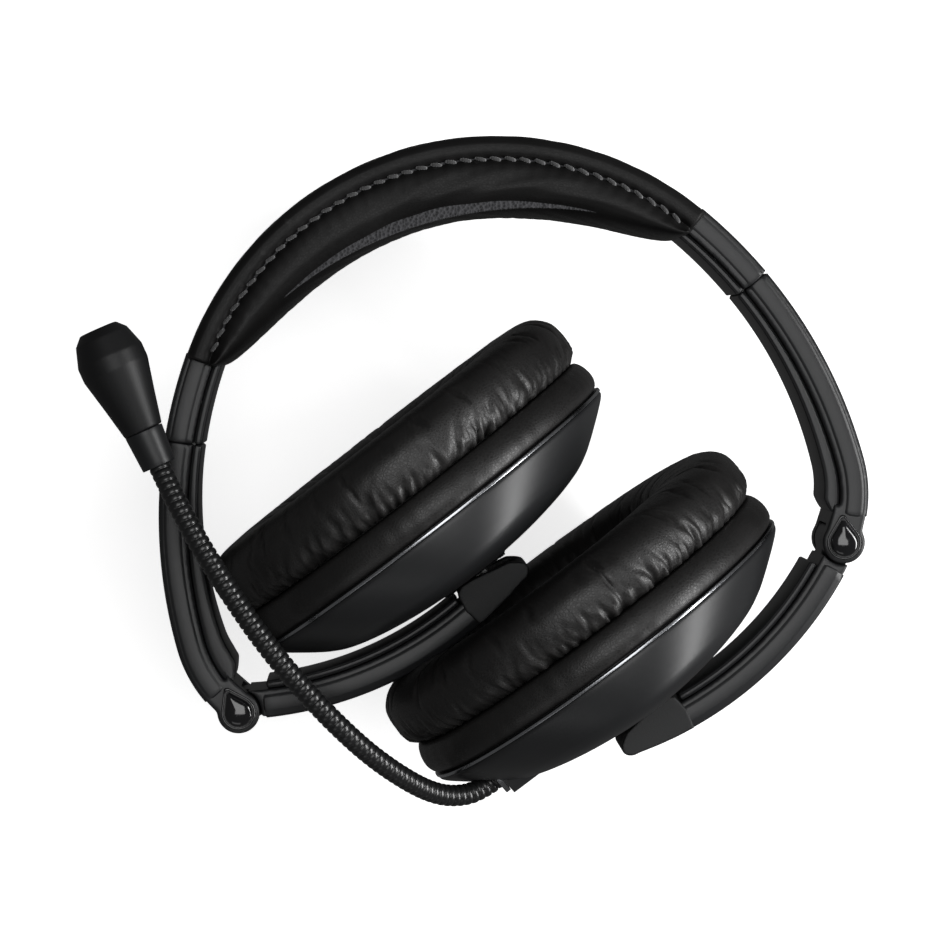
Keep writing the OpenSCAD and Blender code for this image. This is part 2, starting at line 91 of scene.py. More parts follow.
class Cup:
    """A cup's own frame: origin in the middle of the crease, u along the face, n towards the head."""

    def __init__(self, side, flip):
        pivot = joint_at(side + "_tilt")
        ring = box_middle(side + "_trim_ring")
        n = ring - pivot
        n[2] = 0
        self.side = side
        self.n = n / np.linalg.norm(n)
        self.u = flip * np.array([self.n[1], -self.n[0], 0.0])
        self.center = pivot + 29.5 * self.n

    def points(self, p):
        p = np.asarray(p, float)
        return self.center + p[..., :1] * self.u + p[..., 1:2] * self.n + p[..., 2:3] * Z


cups = [Cup("left", 1), Cup("right", -1)]


# ---- Mesh helpers ----

def grid_faces(rows, cols, close_rows=False, close_cols=True):
    faces = []
    for i in range(rows if close_rows else rows - 1):
        a, b = i * cols, ((i + 1) % rows) * cols
        for j in range(cols if close_cols else cols - 1):
            k = (j + 1) % cols
            faces.append((a + j, a + k, b + k, b + j))
    return faces


def linked(name, data):
    thing = bpy.data.objects.new(name, data)
    scene.collection.objects.link(thing)
    return thing


def make(name, points, faces, material):
    mesh = bpy.data.meshes.new(name)
    mesh.from_pydata((np.asarray(points).reshape(-1, 3) * MM).tolist(), [], faces)
    bm = bmesh.new()
    bm.from_mesh(mesh)
    bmesh.ops.remove_doubles(bm, verts=bm.verts, dist=1e-7)
    bmesh.ops.recalc_face_normals(bm, faces=bm.faces)
    for f in bm.faces:
        f.smooth = True
    bm.to_mesh(mesh)
    bm.free()
    mesh.materials.append(material)
    piece = linked(name, mesh)
    return piece


def spline(points, steps, closed=False):
    """Catmull-Rom curve through the points, with the given steps between two points."""
    p = np.asarray(points, float)
    n = len(p)
    out = []
    for i in range(n if closed else n - 1):
        if closed:
            a, b, c, d = p[i - 1], p[i], p[(i + 1) % n], p[(i + 2) % n]
        else:
            a, b, c, d = p[max(i - 1, 0)], p[i], p[i + 1], p[min(i + 2, n - 1)]
        t = (np.arange(steps) / steps)[:, None]
        out.append(0.5 * (2 * b + (c - a) * t + (2 * a - 5 * b + 4 * c - d) * t ** 2
                          + (3 * b - a - 3 * c + d) * t ** 3))
    if not closed:
        out.append(p[-1:])
    return np.vstack(out)


def resample(points, count, closed=False):
    p = np.vstack([points, points[:1]]) if closed else points
    length = np.concatenate([[0], np.cumsum(np.linalg.norm(np.diff(p, axis=0), axis=1))])
    at = np.linspace(0, length[-1], count, endpoint=not closed)
    return np.stack([np.interp(at, length, p[:, k]) for k in range(p.shape[1])], 1), length[-1]


def tube(path, radii, sides):
    """Rings round a path. radii has one value for each point of the path."""
    path = np.asarray(path, float)
    tangent = np.gradient(path, axis=0)
    tangent /= np.linalg.norm(tangent, axis=1)[:, None]
    side = np.cross(tangent[0], Z if abs(tangent[0][2]) < 0.9 else np.array([1.0, 0, 0]))
    rings = []
    turn = np.arange(sides) * 2 * math.pi / sides
    for p, t, r in zip(path, tangent, radii):
        side = side - t * np.dot(side, t)
        side /= np.linalg.norm(side)
        other = np.cross(t, side)
        rings.append(p + r * (np.cos(turn)[:, None] * side + np.sin(turn)[:, None] * other))
    return np.array(rings)


def waves(x, seed, count, lowest, highest):
    """A smooth, repeatable wave of unit size along x, in cycles over the whole range of x."""
    r = np.random.default_rng(seed)
    total = np.zeros_like(x, float)
    for _ in range(count):
        size, cycles, start = r.uniform(0.4, 1), r.integers(lowest, highest + 1), r.uniform(0, 6.28)
        total += size * np.sin(2 * math.pi * cycles * x + start)
    return total / math.sqrt(count)


# ---- Materials ----

class Nodes:
    def __init__(self, name):
        self.material = bpy.data.materials.new(name)
        self.material.use_nodes = True
        self.tree = self.material.node_tree
        self.shader = self.tree.nodes["Principled BSDF"]
        self.place = self.tree.nodes.new("ShaderNodeTexCoord").outputs["Object"]
        self.normal = None

    def node(self, kind, inputs=(), **settings):
        n = self.tree.nodes.new("ShaderNode" + kind)
        for key, value in settings.items():
            setattr(n, key, value)
        for key, value in dict(inputs).items():
            self.put(n.inputs[key], value)
        return n

    def put(self, socket, value):
        if isinstance(value, bpy.types.NodeSocket):
            self.tree.links.new(value, socket)
        else:
            socket.default_value = value

    def stretched(self, x, y, z):
        return self.node("Mapping", {"Vector": self.place, "Scale": (x, y, z)}).outputs[0]

    def noise(self, size_mm, detail=3.0, rough=0.55, vector=None):
        n = self.node("TexNoise", {"Vector": vector or self.place, "Scale": 1 / (size_mm * MM),
                                   "Detail": detail, "Roughness": rough})
        return n.outputs["Fac"]

    def cells(self, size_mm, feature="DISTANCE_TO_EDGE"):
        n = self.node("TexVoronoi", {"Vector": self.place, "Scale": 1 / (size_mm * MM)}, feature=feature)
        return n.outputs["Distance"]

    def span(self, value, low, high, to_low=0.0, to_high=1.0):
        n = self.node("MapRange", {"Value": value, "From Min": low, "From Max": high,
                                   "To Min": to_low, "To Max": to_high})
        return n.outputs["Result"]

    def math(self, kind, a, b):
        return self.node("Math", {0: a, 1: b}, operation=kind).outputs[0]

    def colors(self, value, stops):
        n = self.node("ValToRGB", {"Fac": value})
        ramp = n.color_ramp
        while len(ramp.elements) < len(stops):
            ramp.elements.new(0.5)
        for e, (at, color) in zip(ramp.elements, stops):
            e.position = at
            e.color = (*color, 1)
        return n.outputs["Color"]

    def bump(self, height, depth_mm, strength=1.0):
        inputs = {"Height": height, "Distance": depth_mm * MM, "Strength": strength}
        if self.normal:
            inputs["Normal"] = self.normal
        self.normal = self.node("Bump", inputs).outputs["Normal"]

    def done(self, color, rough, metal=0.0, **more):
        self.put(self.shader.inputs["Base Color"], color if not isinstance(color, tuple) else (*color, 1))
        self.put(self.shader.inputs["Roughness"], rough)
        self.shader.inputs["Metallic"].default_value = metal
        for key, value in more.items():
            self.shader.inputs[key.replace("_", " ")].default_value = value
        if self.normal:
            self.put(self.shader.inputs["Normal"], self.normal)
        return self.material


def shade(color, factor):
    return tuple(c * factor for c in color)


def leather(name, color, grain_mm, gloss=0.5):
    m = Nodes(name)
    pebbles = m.span(m.cells(grain_mm), 0.0, 0.28)
    fine = m.noise(grain_mm * 0.4, 4, 0.6)
    folds = m.noise(7, 3, 0.55)
    patches = m.noise(14, 2, 0.5)
    m.bump(pebbles, 0.035, gloss - 0.05)
    m.bump(fine, 0.022, gloss - 0.05)
    m.bump(folds, 0.35, 0.22)
    tone = m.colors(patches, [(0.3, shade(color, 0.8)), (0.7, shade(color, 1.3))])
    # pointy ridges and fold crests are painted lighter: partly rubbed wear, partly a painted highlight on the
    # folds
    worn = m.node("NewGeometry").outputs["Pointiness"]
    ridge = m.span(worn, 0.51, 0.56)
    ridge_wear_and_highlight = m.node("Mix", {"Factor": ridge, "A": tone, "B": (*shade(color, 2.1), 1)}, data_type="RGBA")
    rough = m.math("ADD", m.span(fine, 0.3, 0.7, 0.36, 0.48), m.span(pebbles, 0, 1, 0.08, -0.05))
    return m.done(ridge_wear_and_highlight.outputs["Result"], rough, Specular_IOR_Level=gloss)


def molded(name, color, rough, grain_mm, depth_mm, **more):
    m = Nodes(name)
    texture = m.noise(grain_mm, 2, 0.5)
    patches = m.noise(18, 2, 0.5)
    scuffs = m.noise(1.1, 5, 0.65, m.stretched(0.3, 1.4, 1))
    m.bump(texture, depth_mm, 0.5)
    tone = m.colors(patches, [(0.3, shade(color, 0.9)), (0.7, shade(color, 1.12))])
    base = m.span(texture, 0.3, 0.7, rough - 0.03, rough + 0.03)
    worn = m.math("ADD", base, m.span(scuffs, 0.62, 0.8, 0.0, 0.09))
    return m.done(tone, worn, **more)


def metal(name, color, rough, brushed=0.0):
    m = Nodes(name)
    lines = m.noise(0.35, 3, 0.6, m.stretched(1, 0.08, 1) if brushed else None)
    spots = m.noise(5, 2, 0.5)
    if brushed:
        m.bump(lines, 0.01, brushed)
    tone = m.colors(spots, [(0.3, shade(color, 0.9)), (0.7, shade(color, 1.08))])
    return m.done(tone, m.span(lines, 0.3, 0.7, rough - 0.05, rough + 0.07), 1.0)


def cloth(name, color, thread_mm):
    m = Nodes(name)
    scale = 1 / (thread_mm * MM)
    a = m.node("TexWave", {"Vector": m.place, "Scale": scale / 6.28, "Distortion": 0.4}, bands_direction="X")
    b = m.node("TexWave", {"Vector": m.place, "Scale": scale / 6.28, "Distortion": 0.4}, bands_direction="Z")
    weave = m.math("MULTIPLY", a.outputs["Fac"], b.outputs["Fac"])
    m.bump(weave, 0.12, 0.8)
    tone = m.colors(weave, [(0.0, shade(color, 0.4)), (1.0, shade(color, 1.8))])
    return m.done(tone, 0.85, Sheen_Weight=0.3)


def foam(name, color):
    m = Nodes(name)
    pores = m.cells(0.8, "F1")
    m.bump(pores, 0.4, 0.9)
    return m.done(m.colors(pores, [(0.1, shade(color, 0.4)), (0.7, color)]), 0.95)


looks = {
    "leather": leather("leather", (0.0105, 0.0100, 0.0098), 0.85),
    "foam": foam("foam", (0.07, 0.07, 0.075)),
    "spring_steel": metal("spring_steel", (0.45, 0.46, 0.47), 0.32, 0.4),
    "screw_steel": metal("screw_steel", (0.16, 0.165, 0.17), 0.35, 0.3),
    "shell": molded("shell", (0.0150, 0.0155, 0.0165), 0.40, 0.16, 0.02),
    "inner_cover": molded("inner_cover", (0.008, 0.0085, 0.009), 0.58, 0.3, 0.06),
    "gloss_cap": molded("gloss_cap", (0.006, 0.006, 0.007), 0.12, 0.8, 0.004,
                        Coat_Weight=0.6, Coat_Roughness=0.05),
    "trim_metal": metal("trim_metal", (0.42, 0.43, 0.45), 0.24),
    "driver_plastic": molded("driver_plastic", (0.03, 0.031, 0.034), 0.5, 0.2, 0.02),
    "magnet_metal": metal("magnet_metal", (0.25, 0.255, 0.26), 0.3, 0.3),
    "diaphragm_film": molded("diaphragm_film", (0.55, 0.51, 0.42), 0.35, 0.6, 0.02),
    "scrim_cloth": cloth("scrim_cloth", (0.018, 0.018, 0.02), 0.35),
    "socket_plastic": molded("socket_plastic", (0.012, 0.0125, 0.0135), 0.42, 0.2, 0.015),
    "neck_metal": molded("neck_metal", (0.010, 0.0102, 0.0106), 0.3, 0.12, 0.012,
                         Coat_Weight=0.25, Coat_Roughness=0.2),
}
pad_leather = leather("pad_leather", (0.0075, 0.0073, 0.0073), 0.7, 0.2)
thread = cloth("thread", (0.14, 0.14, 0.143), 0.3)


# ---- CAD pieces that stay: rounded edges and a finish ----

slot_of = {s["node"]: s["material_slot"] for s in record["subparts"]}
EDGE_MM = {"fold_caps": 1.1, "cup_housing": 0.7, "yoke_shell": 1.5, "yoke_cover": 0.5, "arm_shell": 1.1,
           "arm_cover": 0.45, "band_end": 1.0, "band_end_cover": 0.45, "mic_body": 0.7, "boom_socket": 0.3,
           "slider_strip": 0.25}
PLAIN_EDGE_MM = 0.2
DARKENED = ("tilt_pin", "slider_strip")
WELD = 0.002
for name, node in frame["nodes"].items():
    kind = name.replace("left_", "").replace("right_", "")
    node.data.materials.clear()
    node.data.materials.append(looks["neck_metal" if kind in DARKENED else slot_of[name]])
    for p in node.data.polygons:
        p.use_smooth = True
    node.modifiers.new("weld", "WELD").merge_threshold = WELD * MM
    bevel = node.modifiers.new("edge", "BEVEL")
    bevel.width = EDGE_MM.get(kind, PLAIN_EDGE_MM) * MM
    bevel.segments = 3
    bevel.limit_method = "ANGLE"
    bevel.angle_limit = math.radians(35)
    node.modifiers.new("normals", "WEIGHTED_NORMAL").keep_sharp = False


# ---- Mouldings: the CAD solids again, with soft, rounded edges ----

def settled(piece):
    """The piece's mesh with its modifiers applied."""
    done = piece.evaluated_get(bpy.context.evaluated_depsgraph_get())
    mesh = bpy.data.meshes.new_from_object(done)
    piece.modifiers.clear()
    piece.data = mesh
    for f in mesh.polygons:
        f.use_smooth = True


def soften(piece, voxel, rounds):
    """Melts the piece's solids into one skin and rounds its edges."""
    remesh = piece.modifiers.new("skin", "REMESH")
    remesh.mode = "VOXEL"
    remesh.voxel_size = voxel * MM
    smooth = piece.modifiers.new("soft", "SMOOTH")
    smooth.factor = 0.5
    smooth.iterations = rounds
    settled(piece)


def moulded(name, node, body, voxel, rounds):
    """A softened copy of a CAD solid, which it replaces."""
    mesh = frame["nodes"][node].data.copy()
    bm = bmesh.new()
    bm.from_mesh(mesh)
    bmesh.ops.remove_doubles(bm, verts=bm.verts, dist=WELD * MM)
    bm.to_mesh(mesh)
    bm.free()
    piece = linked(name, mesh)
    soften(piece, voxel, rounds)
    piece.data.materials.clear()
    piece.data.materials.append(looks[slot_of[node]])
    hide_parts(node)
    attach(piece, body)
    return piece


for side in ("left", "right"):
    moulded(side + "_band_end_moulding", side + "_band_end", "headband", 0.4, 10)
    moulded(side + "_arm_moulding", side + "_arm_shell", side + "_slider", 0.4, 12)
mic_housing = moulded("mic_housing", "mic_body", "boom", 0.3, 2)
mic_housing.data.materials[0] = molded("mic_plastic", (0.009, 0.0092, 0.0098), 0.46, 0.2, 0.03,
                                       Specular_IOR_Level=0.35)


# ---- Crowned faces and linings, as bars along the outsides of the band's ends, the arms and the yokes ----

SIDE_R, SIDE_C = 119.11, np.array([-32.61, -14.834])
LOWER_R, LOWER_C = 33.0, np.array([53.5, -14.834])
YOKE_R, YOKE_C = 93.0, np.array([27.0, 82.3])
PROUD, FACE_DEPTH = -0.35, 6.55
# size of a bar's section near its end, and how far past the end of the line it lies
ENDS = [(0.0, 0.5), (0.55, 0.45), (0.9, 0.2)]


def arc_line(center, radius, start, end, steps):
    """Points on an arc, from its start to its end in degrees, and the rays that lead out to them."""
    a = np.radians(np.linspace(start, end, steps))
    ray = np.stack([np.cos(a), np.sin(a)], 1)
    return center + radius * ray, ray


def bar(name, line, rays, outer, inner, half, place, body, replaces=None, corner=0.55, crown=0.2):
    """A bar between two depths under a line. Rays point outwards; outer and inner may vary along the line."""
    n = len(line)
    outer, inner = np.broadcast_to(outer, n), np.broadcast_to(inner, n)
    stations = ([(0, size, -past) for size, past in ENDS] + [(i, 1.0, 0.0) for i in range(n)]
                + [(n - 1, size, past) for size, past in ENDS[::-1]])
    turn = np.linspace(0, math.pi / 2, 5)
    c, s = corner * np.cos(turn), corner * np.sin(turn)
    rings = []
    for i, size, past in stations:
        middle, deep = (outer[i] + inner[i]) / 2, (inner[i] - outer[i]) / 2
        quarter = np.stack([deep - corner + c, half - corner + s], 1)
        top = np.linspace(deep - corner, -(deep - corner), 11)[1:-1]
        flat = np.stack([top, half + crown * (1 - (top / deep) ** 2)], 1)
        upper = np.vstack([quarter, flat, quarter[::-1] * [-1, 1]])
        loop = np.vstack([upper, upper[::-1] * [1, -1]])
        narrow = 1 - (1 - size) * 0.5 / half if size else 0
        d, z = middle + loop[:, 0] * size, loop[:, 1] * narrow
        forward = line[min(i + 1, n - 1)] - line[max(i - 1, 0)]
        at = line[i] + forward / np.linalg.norm(forward) * past - d[:, None] * rays[i]
        rings.append(place(at[:, 0], at[:, 1], z))
    rings = np.array(rings)
    piece = make(name, rings, grid_faces(len(rings), rings.shape[1]), looks["shell"])
    if replaces:
        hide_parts(replaces)
    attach(piece, body)


def face_bar(name, line, rays, half, place, body):
    bar(name, line, rays, PROUD, FACE_DEPTH, half, place, body, corner=1.2, crown=0.5)


def on_band(mirror):
    """Turns points in the band's own frame, or in its mirror image, into places."""
    def place(x, y, z):
        height = mid_z - band_origin[2] + z
        return band_origin + (mirror * x)[:, None] * band_u + y[:, None] * band_v + height[:, None] * Z
    return place


for side, mirror in (("left", 1), ("right", -1)):
    place = on_band(mirror)
    line, rays = arc_line(SIDE_C, SIDE_R, 35.2, 24.95, 24)
    face_bar(side + "_band_end_face", line, rays, 13.3, place, "headband")
    line, rays = arc_line(SIDE_C, SIDE_R, 35.6, 25.1, 24)
    bar(side + "_band_end_lining", line, rays, 6.7, np.linspace(8.7, 8.9, 24), 12.3, place, "headband",
        side + "_band_end_cover")

    upper, upper_rays = arc_line(SIDE_C, SIDE_R, 24.5, 0, 50)
    lower, lower_rays = arc_line(LOWER_C, LOWER_R, 0, -25, 16)
    face_bar(side + "_arm_face", np.vstack([upper, lower[1:]]), np.vstack([upper_rays, lower_rays[1:]]), 12.4,
             place, side + "_slider")
    lower, lower_rays = arc_line(LOWER_C, LOWER_R, 0, -27, 18)
    line, rays = np.vstack([upper, lower[1:]]), np.vstack([upper_rays, lower_rays[1:]])
    # the lining gets deeper towards the hinge and thins out at its end
    t = np.linspace(0, 1, len(line))
    depth = 8.9 + 1.9 * t ** 1.5 if side == "left" else 8.9 + 2.6 * np.clip(t / 0.85, 0, 1) ** 1.5
    depth = 6.9 + (depth - 6.9) * np.clip((1 - t) * 12, 0, 1) ** 0.5
    bar(side + "_arm_lining", line, rays, 6.7, depth, 11.4, place, side + "_slider", side + "_arm_cover")


class Yoke:
    """A yoke's own frame: origin on the cup's pivot, x towards the fold hinge, y towards the head."""

    def __init__(self, side, mirror):
        pivot, hinge = joint_at(side + "_tilt"), joint_at(side + "_fold")
        self.side, self.pivot = side, pivot
        self.span = float(np.linalg.norm((hinge - pivot)[:2]))
        self.x = (hinge - pivot) / self.span
        self.x[2] = 0
        self.y = mirror * np.array([-self.x[1], self.x[0], 0.0])

    def place(self, x, y, z):
        height = mid_z - self.pivot[2] + z
        return self.pivot + x[:, None] * self.x + y[:, None] * self.y + height[:, None] * Z


def yoke_line(x0, x1, steps):
    """The yoke's outer line from x0 to x1."""
    start, end = (math.degrees(math.asin((x - YOKE_C[0]) / YOKE_R)) - 90 for x in (x0, x1))
    return arc_line(YOKE_C, YOKE_R, start, end, steps)


def prisms(name, place, parts):
    """One mesh of overlapping prisms. Each part is an outline and its lowest and highest z."""
    bm = bmesh.new()
    for outline, low, high in parts:
        x, y = outline[:, 0], outline[:, 1]
        a, b = ([bm.verts.new(v * MM) for v in place(x, y, 0 * x + z)] for z in (low, high))
        bm.faces.new(a[::-1])
        bm.faces.new(b)
        for i in range(len(a)):
            j = (i + 1) % len(a)
            bm.faces.new((a[i], a[j], b[j], b[i]))
    bmesh.ops.recalc_face_normals(bm, faces=bm.faces)
    mesh = bpy.data.meshes.new(name)
    bm.to_mesh(mesh)
    bm.free()
    return mesh


LUG_HALF, BLOCK_HALF = 8.5, 12.9
for yoke in (Yoke("left", 1), Yoke("right", -1)):
    moulded(yoke.side + "_yoke_moulding", yoke.side + "_yoke_shell", yoke.side + "_yoke", 0.4, 12)

    # a dark block closes the end: two ears over the pivot's lugs and a wall behind them
    under = yoke_line(-9.0, 5, 10)[0] + [0, -0.3]
    nose = np.array([(-10.6, -3.3), (-11.6, -2.4), (-12.0, -1.2), (-11.6, 0.0), (-10.4, 0.9)])
    ear = np.vstack([under, [[6.6, -4], [6.6, 0.6], [5, 2.0], [2, 2.3], [-8.4, 1.9]], nose[::-1]])
    wall = np.vstack([yoke_line(-9.0, -4.5, 4)[0] + [0, -0.3], [[-4.5, 0.5], [-10.0, 0.5]], nose[3::-1]])
    parts = ((ear, LUG_HALF, BLOCK_HALF), (ear, -BLOCK_HALF, -LUG_HALF), (wall, -BLOCK_HALF, BLOCK_HALF))
    mesh = prisms(yoke.side + "_yoke_end", yoke.place, parts)
    end = linked(yoke.side + "_yoke_end", mesh)
    mesh.materials.append(looks["inner_cover"])
    soften(end, 0.35, 8)
    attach(end, yoke.side + "_yoke")

    line, rays = yoke_line(-0.5, yoke.span - 5.6, 34)
    face_bar(yoke.side + "_yoke_face", line, rays, 12.0, yoke.place, yoke.side + "_yoke")
    line, rays = yoke_line(6.0, yoke.span - 6.8, 32)
    bar(yoke.side + "_yoke_lining", line, rays, 6.75, 8.7, 11.3, yoke.place, yoke.side + "_yoke",
        yoke.side + "_yoke_cover")


# ---- Glossy teardrop caps over the fold pins ----

CAP_R, CAP_TIP, CAP_SHOULDER = 3.7, 6.5, 0.96
CAP_TURN = math.radians(78)
CAP_SIDES, CAP_FOOT = 72, 12.35


def teardrop(angle):
    """Radius of the outline: a circle drawn out to a tip at angle 0."""
    a = abs((angle + math.pi) % (2 * math.pi) - math.pi)
    if a >= CAP_SHOULDER:
        return CAP_R
    across = CAP_R * math.cos(a) + math.sqrt(CAP_TIP ** 2 - CAP_R ** 2) * math.sin(a) + 1e-9
    return max(CAP_R, CAP_TIP * CAP_R / across)


for side, mirror in (("left", 1), ("right", -1)):
    place = on_band(mirror)
    turn = np.arange(CAP_SIDES) * 2 * math.pi / CAP_SIDES
    outline = np.array([teardrop(a) for a in turn])
    outline = (outline + np.roll(outline, 1) + np.roll(outline, -1)) / 3
    # (size, height): a raised rim, a groove and a dome
    shape = [(1.13, 0.0), (1.13, 0.45), (1.06, 0.62), (1.0, 0.5), (0.965, 0.28), (0.93, 0.5), (0.9, 0.95)] + [
        (0.9 * math.cos(v), 0.95 + 1.15 * math.sin(v)) for v in np.linspace(0.12, math.pi / 2, 12)]
    caps = []
    for face in (1, -1):
        rings = []
        for size, height in shape:
            r, a = outline * size, turn + CAP_TURN
            x, y = HINGE_ACROSS + r * np.cos(a), -HINGE_BELOW + r * np.sin(a)
            rings.append(place(x, y, face * (CAP_FOOT + height) + 0 * r))
        caps.append(np.array(rings))
    faces = grid_faces(len(shape), CAP_SIDES)
    both = faces + [tuple(i + len(shape) * CAP_SIDES for i in f) for f in faces]
    cap = make(side + "_teardrop_caps", np.vstack(caps), both, looks["gloss_cap"])
    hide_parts(side + "_fold_caps")
    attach(cap, side + "_slider")


# ---- Headband pad ----

PAD_R, PAD_END, GROOVE = 79.3, 55.0, 5.65
STITCH, STITCH_HALF, STITCHES = 3.6, 1.45, 41


def pad_depth(phi):
    return 8 + 11.6 * np.clip(1 - (abs(phi) / PAD_END) ** 2.6, 0, 1) ** 0.6


def pad_half_section(depth):
    """Half of the pad's section, as (z, depth) from the middle of the outside to the middle of the inside."""
    outer = spline([(0, -0.25), (6, -0.2), (12, -0.08), (15.3, 0.15), (16.7, 0.8), (17.35, 2.0)], 3)
    side = spline([(17.35, 2.0), (17.45, 3.3), (17.25, 4.5), (16.75, 5.2), (16.35, GROOVE), (16.8, 6.15),
                   (17.4, 7.0 if depth > 10 else GROOVE + 0.28 * (depth - GROOVE))], 4)
    middle = GROOVE + 0.46 * (depth - GROOVE)
    start = math.asin(max(-1.0, (side[-1][1] - middle) / (middle - GROOVE)))
    lower = np.linspace(start, 0, 8)[1:]
    low = np.stack([17.4 + 0.75 * (np.cos(lower) - math.cos(start)) / (1 - math.cos(start) + 1e-6),
                    middle + (middle - GROOVE) * np.sin(lower)], 1)
    a = np.linspace(0, math.pi / 2, 26)[1:]
    high = np.stack([18.15 * np.cos(a) ** (2 / 2.7), middle + (depth - middle) * np.sin(a) ** (2 / 2.1)], 1)
    return np.vstack([outer[:-1], side, low, high])


def band_points(phi, z, depth):
    a = np.radians(90 - phi)
    r = PAD_R - depth
    across, up = (r * np.cos(a))[..., None], (r * np.sin(a))[..., None]
    return crown_center * [1, 1, 0] + across * band_u + up * band_v + (mid_z + z)[..., None] * Z


def headband_pad():
    phis = np.linspace(-PAD_END, PAD_END, 421)
    half = [pad_half_section(float(pad_depth(p))) for p in phis]
    rings = np.array([np.vstack([h, h[-2:0:-1] * [-1, 1]]) for h in half])
    z, depth = rings[..., 0], rings[..., 1]
    phi = np.repeat(phis[:, None], z.shape[1], 1)
    along = np.radians(phi) * (PAD_R - GROOVE)
    full = pad_depth(phi)
    sign = np.sign(z)
    # puckers pulled in by every stitch, and slack leather over the soft bulge
    pull = 0.5 + 0.5 * np.cos(2 * math.pi * along / STITCH)
    each = 0.75 + 0.25 * waves((along + 80) / 160 + sign * 0.13, 3, 5, 20, 40)
    near = np.exp(-((depth - GROOVE) / 0.85) ** 2) * (abs(z) > 14)
    far = np.exp(-((depth - GROOVE - 2.2) / 2.0) ** 2) * (abs(z) > 14)
    ripple = np.cos(2 * math.pi * along / STITCH + 1.2)
    z = z - sign * (0.40 * near * pull * each + 0.05 * far * ripple * each)
    bulge = np.clip((depth - GROOVE - 1) / 5, 0, 1)
    slack = waves((along + 80) / 160 + 0.02 * depth, 11, 6, 4, 14)
    cross = waves((along + 80) / 160 + 0.011 * z, 12, 6, 5, 17)
    z = z + sign * bulge * 0.14 * slack * (abs(z) > 6)
    depth = depth + bulge * 0.18 * cross * np.clip(1 - abs(z) / 18, 0, 1) - 0.10 * (depth < 1) * cross
    # the ends close over the housings
    ends = []
    for end, ring in ((-1, 0), (1, -1)):
        center = np.array([0.0, float(depth[ring].mean())])
        for grow, out in ((0.93, 0.35), (0.75, 0.55), (0.35, 0.6), (0.0, 0.6)):
            zz = center[0] + (z[ring] - center[0]) * grow
            dd = center[1] + (depth[ring] - center[1]) * grow
            ends.append((end, band_points(phi[ring] + end * out, zz, dd)))
    body = band_points(phi, z, depth)
    first = np.array([p for e, p in ends if e < 0][::-1])
    last = np.array([p for e, p in ends if e > 0])
    return np.vstack([first, body, last])


def stitches():
    points, faces = [], []
    for sign in (-1, 1):
        for k in range(STITCHES):
            along = (k - (STITCHES - 1) / 2 + 0.5) * STITCH
            if abs(along) > math.radians(PAD_END - 1.2) * (PAD_R - GROOVE):
                continue
            t = np.linspace(-STITCH_HALF, STITCH_HALF, 7)
            phi = np.degrees((along + t) / (PAD_R - GROOVE))
            arch = 16.62 - 0.62 * (abs(t) / STITCH_HALF) ** 3
            path = band_points(phi, sign * arch, GROOVE + 0.34 * t + rng.uniform(-0.08, 0.08))
            r = 0.5 * np.sqrt(np.clip(1 - (abs(t) / 1.5) ** 6, 0.05, 1))
            ring = tube(path, r, 8)
            base = len(points)
            points.extend(ring.reshape(-1, 3))
            faces += [tuple(base + i for i in f) for f in grid_faces(7, 8)]
            faces += [tuple(base + i for i in range(8)), tuple(base + 48 + i for i in range(7, -1, -1))]
    return points, faces


rings = headband_pad()
pad = make("headband_pad", rings, grid_faces(len(rings), rings.shape[1]), pad_leather)
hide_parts("headband_cover")
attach(pad, "headband")
points, faces = stitches()
seam = make("pad_stitches", points, faces, thread)
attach(seam, "headband")


# ---- Ear cushions and rolls ----

# (radius, height) round each profile
CUSHION = [(50.1, -0.35), (51.2, 0.9), (52.0, 2.8), (52.25, 5.4), (52.2, 8.2), (51.5, 10.9), (49.4, 13.2),
           (46.0, 14.35), (41.5, 14.75), (36.8, 14.45), (32.8, 13.2), (30.2, 10.8), (29.3, 7.6), (29.5, 4.2),
           (30.2, 1.4), (32.5, 0.35), (40.0, 0.1), (47.0, -0.1)]
ROLL = [(50.2, -0.75), (51.4, -1.5), (52.25, -3.3), (52.6, -5.5), (52.35, -7.3), (51.5, -8.5), (50.2, -9.0),
        (46.5, -9.0), (44.4, -7.2), (44.4, -2.8), (46.5, -0.75)]
CUSHION_AROUND, CUSHION_ACROSS = 480, 52
ROLL_AROUND, ROLL_ACROSS = 360, 36
SWELL_SIZE, SWELL_FRAMES, MOST_SWELL = 10, 14, 0.75
OTHER_WAY = 170  # steps by which the right cushion is turned, so that the two don't look alike


def lathe(profile, around):
    turn = np.arange(around) * 2 * math.pi / around
    r, y = profile[:, 0], profile[:, 1]
    return np.stack([np.cos(turn)[:, None] * r, np.repeat(y[None], around, 0), np.sin(turn)[:, None] * r], 2)


def swell(points, faces, pinned, frames):
    """Blows the leather up from inside while its seams stay put, larger than life. Returns the new points."""
    mesh = bpy.data.meshes.new("swell")
    mesh.from_pydata((points.reshape(-1, 3) * MM * SWELL_SIZE).tolist(), [], faces)
    piece = linked("swell", mesh)
    group = piece.vertex_groups.new(name="seams")
    for i in np.nonzero(pinned)[0]:
        group.add([int(i)], 1.0, "REPLACE")
    c = piece.modifiers.new("cloth", "CLOTH").settings
    c.quality = 6
    c.mass = 0.4
    c.tension_stiffness = c.compression_stiffness = 18
    c.shear_stiffness = 6
    c.bending_stiffness = 0.35
    c.use_pressure = True
    c.uniform_pressure_force = 4.0
    c.shrink_min = -0.05
    c.effector_weights.gravity = 0
    c.vertex_group_mass = "seams"
    for f in range(1, frames + 1):
        scene.frame_set(f)
    done = piece.evaluated_get(bpy.context.evaluated_depsgraph_get())
    out = np.empty(len(mesh.vertices) * 3)
    done.data.vertices.foreach_get("co", out)
    bpy.data.objects.remove(piece)
    scene.frame_set(1)
    return out.reshape(-1, 3) / MM / SWELL_SIZE


